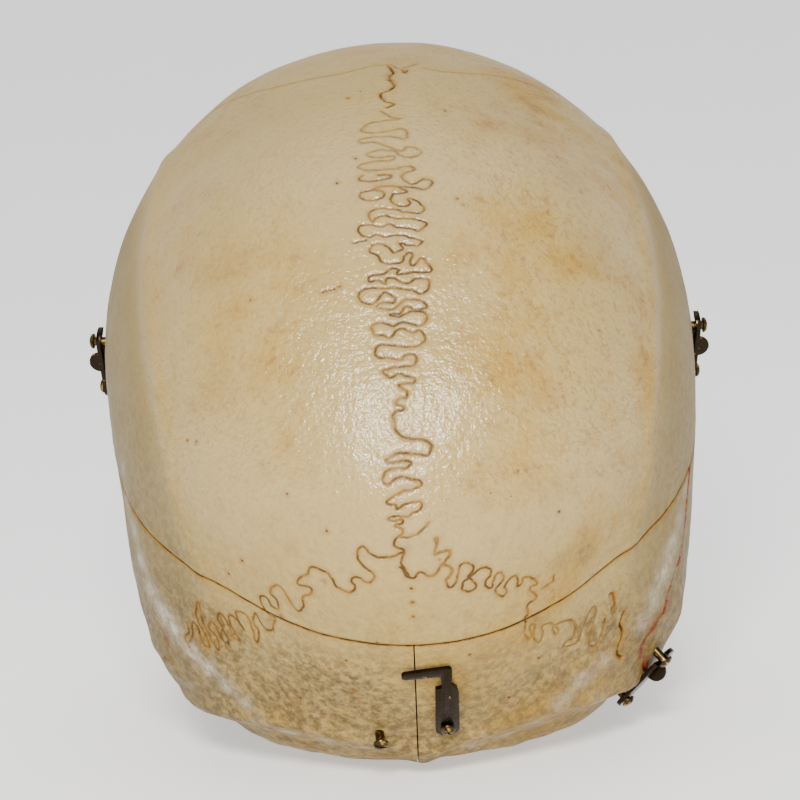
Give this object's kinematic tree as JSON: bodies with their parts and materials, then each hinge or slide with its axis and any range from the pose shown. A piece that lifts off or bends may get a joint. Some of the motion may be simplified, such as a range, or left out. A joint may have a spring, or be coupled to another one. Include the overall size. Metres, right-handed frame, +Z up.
{
  "type": "dissected human skull",
  "caption": "Life-size human skull cut for teaching: cap sawn off level, base sawn in halves, right ear block sawn loose, all held by brass hook latches.",
  "frame": {"origin": "centre of the bounding box's footprint, on the floor that the skull rests on", "axes": "+Z up, -Y the way the face looks, tipped back on chin and occiput, +X the skull's left"},
  "size_m": [0.1458, 0.2298, 0.1611],
  "materials": {
    "bone": "satin varnish over dry bone",
    "hook_brass": "blackened, worn at the edges",
    "post_brass": "dark brass, brighter on the domes"
  },
  "bodies": {
    "root": {"frontal_cap": "bone", "parietal_cap_left": "bone", "parietal_cap_right": "bone", "occipital_cap": "bone", "frontal_left": "bone", "frontal_right": "bone", "zygomatic_left": "bone", "zygomatic_right": "bone", "nasal_left": "bone", "nasal_right": "bone", "maxilla_left": "bone", "maxilla_right": "bone", "sphenoid_left": "bone", "sphenoid_right": "bone", "temporal_left": "bone", "temporal_right": "bone", "parietal_left": "bone", "parietal_right": "bone", "parietal_corner_right": "bone", "occipital_left": "bone", "occipital_right": "bone", "mandible": "bone", "left_hook_plate": "hook_brass", "left_hook_screw": "post_brass", "left_hook_post": "post_brass", "right_hook_plate": "hook_brass", "right_hook_screw": "post_brass", "right_hook_post": "post_brass", "back_hook_plate": "hook_brass", "back_hook_screw": "post_brass", "back_hook_post": "post_brass", "block_hook_plate": "hook_brass", "block_hook_screw": "post_brass", "block_hook_post": "post_brass"}
  },
  "joints": []
}
